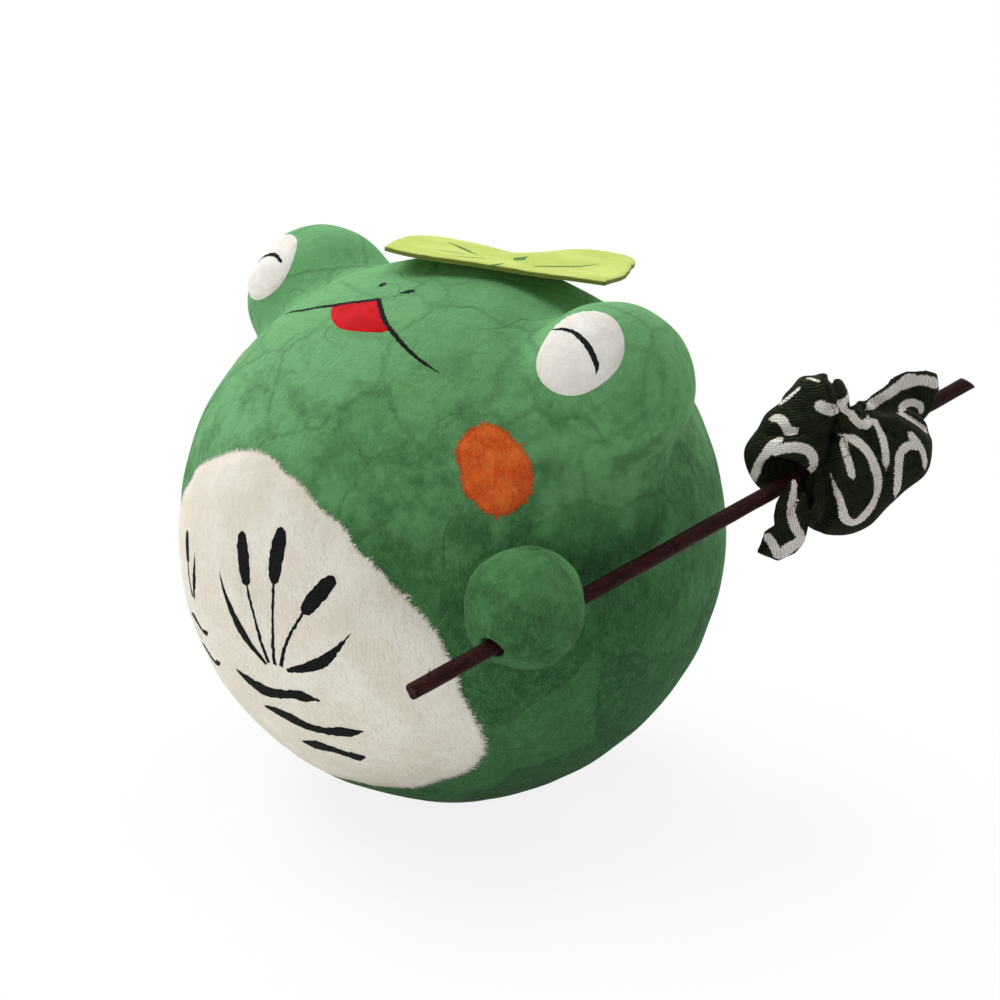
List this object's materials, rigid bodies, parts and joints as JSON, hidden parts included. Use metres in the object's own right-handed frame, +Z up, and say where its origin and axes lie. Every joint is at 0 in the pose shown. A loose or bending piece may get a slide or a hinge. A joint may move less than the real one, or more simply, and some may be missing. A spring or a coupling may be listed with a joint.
{
  "type": "papier-mache frog figurine",
  "caption": "Round hollow papier-mache frog covered in torn green paper, with a notched leaf hat and a stick through its hand that carries a knotted cloth bundle.",
  "frame": {"origin": "middle of the round face that the figurine stands on", "axes": "the frog looks along -Y, its left side is +X, +Z is up"},
  "size_m": [0.1088, 0.1108, 0.0895],
  "materials": {
    "green_paper": "matt fibrous handmade paper, torn and pasted in overlapping pieces",
    "base_card": "plain grey-brown card",
    "cream_paper": "matt fibrous handmade paper with a torn edge",
    "white_paper": "matt handmade paper, cut edge",
    "orange_paper": "matt fibrous paper with a torn edge",
    "red_paper": "smooth matt paper, cut edge",
    "leaf_paper": "thick matt felted paper, cut edge",
    "dark_stick": "dark stained stick with a slight sheen",
    "wrapping_cloth": "woven cotton with a pale scroll pattern"
  },
  "bodies": {
    "root": {"body_shell": "green_paper", "base_disc": "base_card", "left_hand": "green_paper", "belly_patch": "cream_paper", "left_eye_patch": "white_paper", "right_eye_patch": "white_paper", "left_cheek_patch": "orange_paper", "right_cheek_patch": "orange_paper", "mouth_patch": "red_paper", "leaf_hat": "leaf_paper", "carrying_stick": "dark_stick", "cloth_bundle": "wrapping_cloth"}
  },
  "joints": []
}
